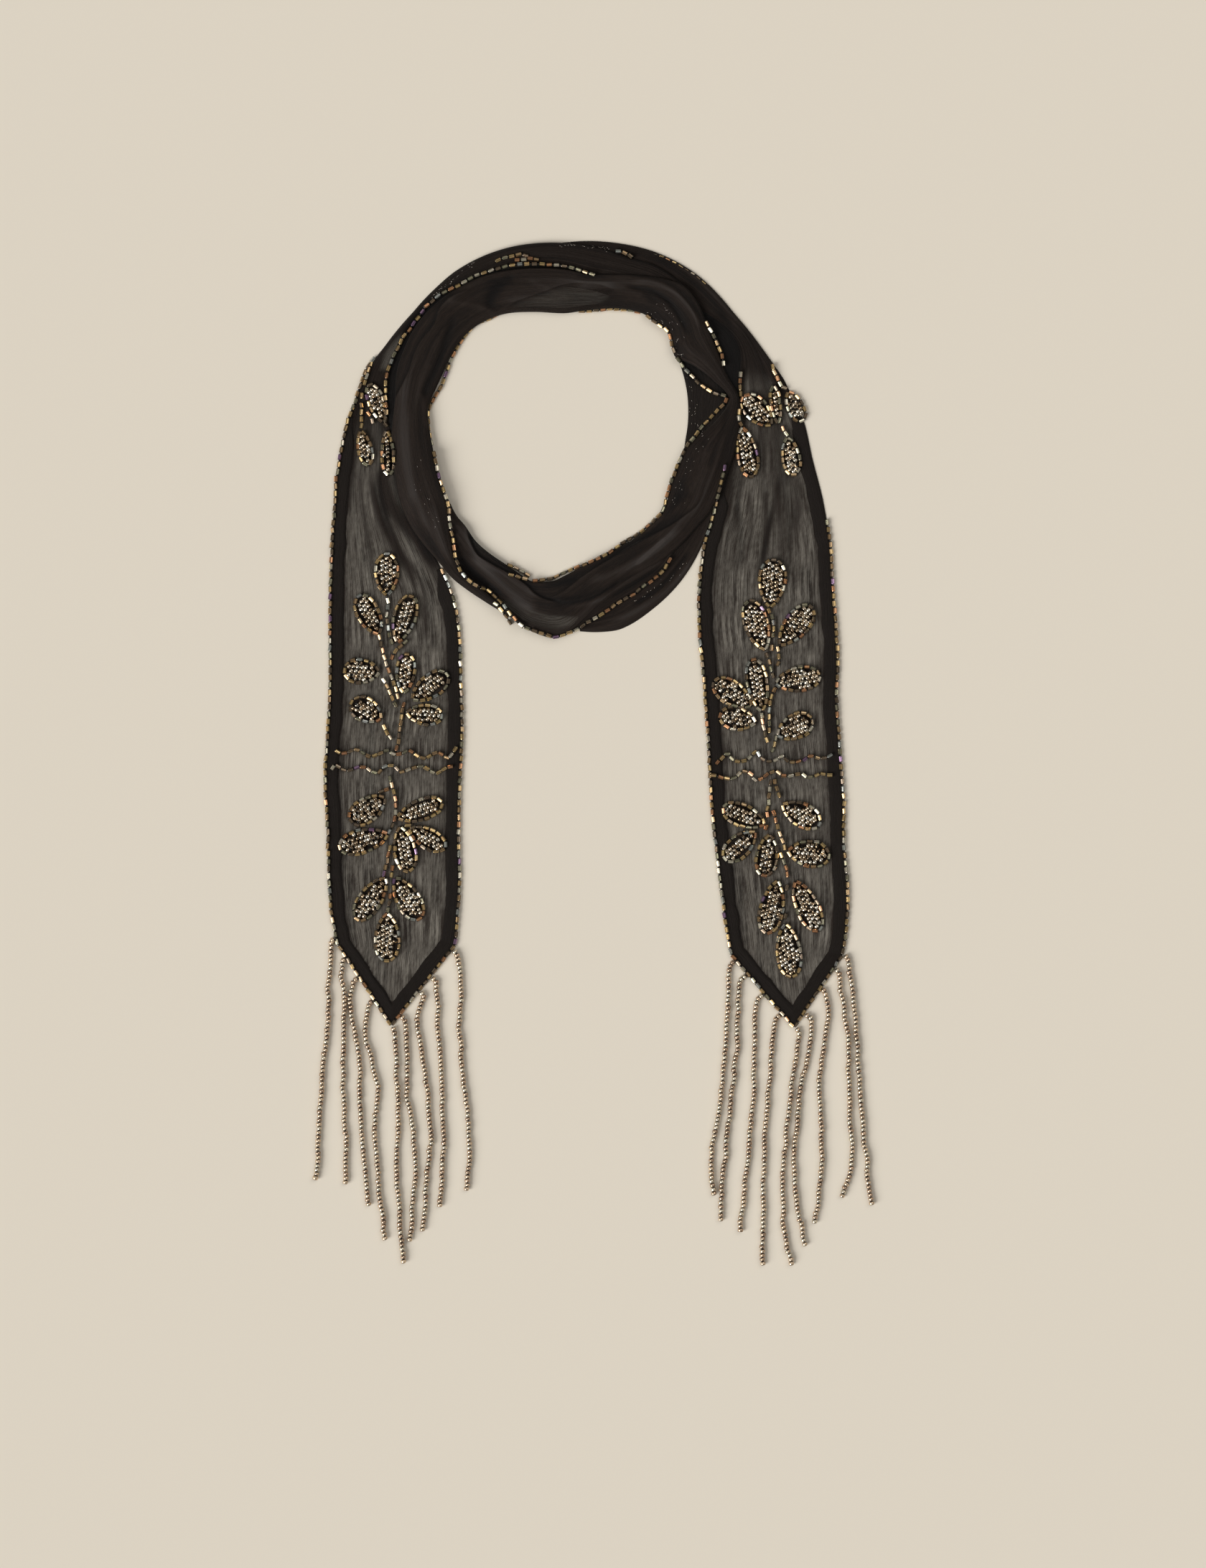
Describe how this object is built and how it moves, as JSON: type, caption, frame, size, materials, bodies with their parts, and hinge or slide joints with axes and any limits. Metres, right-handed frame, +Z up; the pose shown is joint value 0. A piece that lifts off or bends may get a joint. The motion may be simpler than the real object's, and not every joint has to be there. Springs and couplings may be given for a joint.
{
  "type": "skinny scarf",
  "caption": "Long narrow sheer scarf laid flat and wound into a ring, its two tails cut to points with beaded leaf sprays and a fringe of bead strands.",
  "frame": {"origin": "on the surface the scarf lies on, under the middle of its outline box", "axes": "+Z up off the surface, +Y from the fringe towards the ring, +X to the right seen from above"},
  "size_m": [0.3134, 0.5708, 0.0063],
  "materials": {
    "sheer_chiffon": "single layer of black crinkle chiffon, see-through, matt with a faint silky sheen",
    "chiffon": "black crinkle chiffon in two or more layers, opaque, matt",
    "seed_beads": "round seed beads with a worn champagne and pewter metal coat"
  },
  "bodies": {
    "root": {"left_tail_panel": "sheer_chiffon", "right_tail_panel": "sheer_chiffon", "left_tail_border": "chiffon", "right_tail_border": "chiffon", "ring_core": "chiffon", "outer_turn_top_left": "chiffon", "outer_turn_top_right": "chiffon", "outer_turn_bottom_right": "chiffon", "inner_turn_left": "chiffon", "inner_turn_right": "chiffon", "under_turn_bottom_left": "chiffon", "left_strand_1": "seed_beads", "left_strand_2": "seed_beads", "left_strand_3": "seed_beads", "left_strand_4": "seed_beads", "left_strand_5": "seed_beads", "left_strand_6": "seed_beads", "left_strand_7": "seed_beads", "left_strand_8": "seed_beads", "left_strand_9": "seed_beads", "right_strand_1": "seed_beads", "right_strand_2": "seed_beads", "right_strand_3": "seed_beads", "right_strand_4": "seed_beads", "right_strand_5": "seed_beads", "right_strand_6": "seed_beads", "right_strand_7": "seed_beads", "right_strand_8": "seed_beads", "right_strand_9": "seed_beads"}
  },
  "joints": []
}
